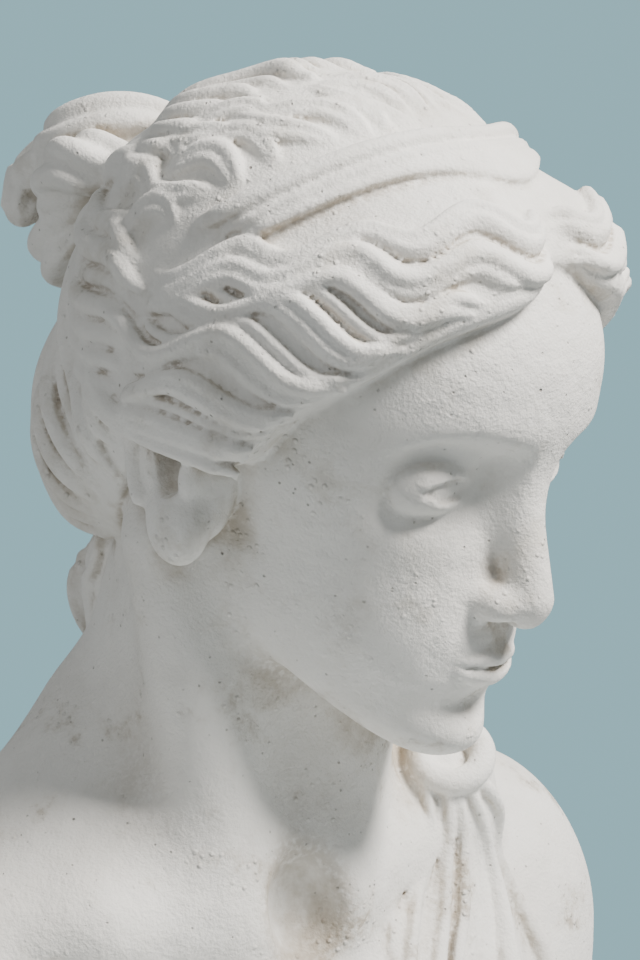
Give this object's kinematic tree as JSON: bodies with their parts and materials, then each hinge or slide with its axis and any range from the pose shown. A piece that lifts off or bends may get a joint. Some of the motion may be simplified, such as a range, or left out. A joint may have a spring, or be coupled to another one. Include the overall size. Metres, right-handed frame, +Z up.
{
  "type": "female bust",
  "caption": "Life-size cast stone bust of a woman, head bowed and turned to her left, waved hair drawn to a knot, garment pinned at one shoulder, cut flat below.",
  "frame": {"origin": "middle of the flat underside, below the neck", "axes": "+X to the sitter's left, -Y out of the chest, +Z up"},
  "size_m": [0.3721, 0.2894, 0.4459],
  "materials": {
    "stone": "matte"
  },
  "bodies": {
    "root": {"bust": "stone"}
  },
  "joints": []
}
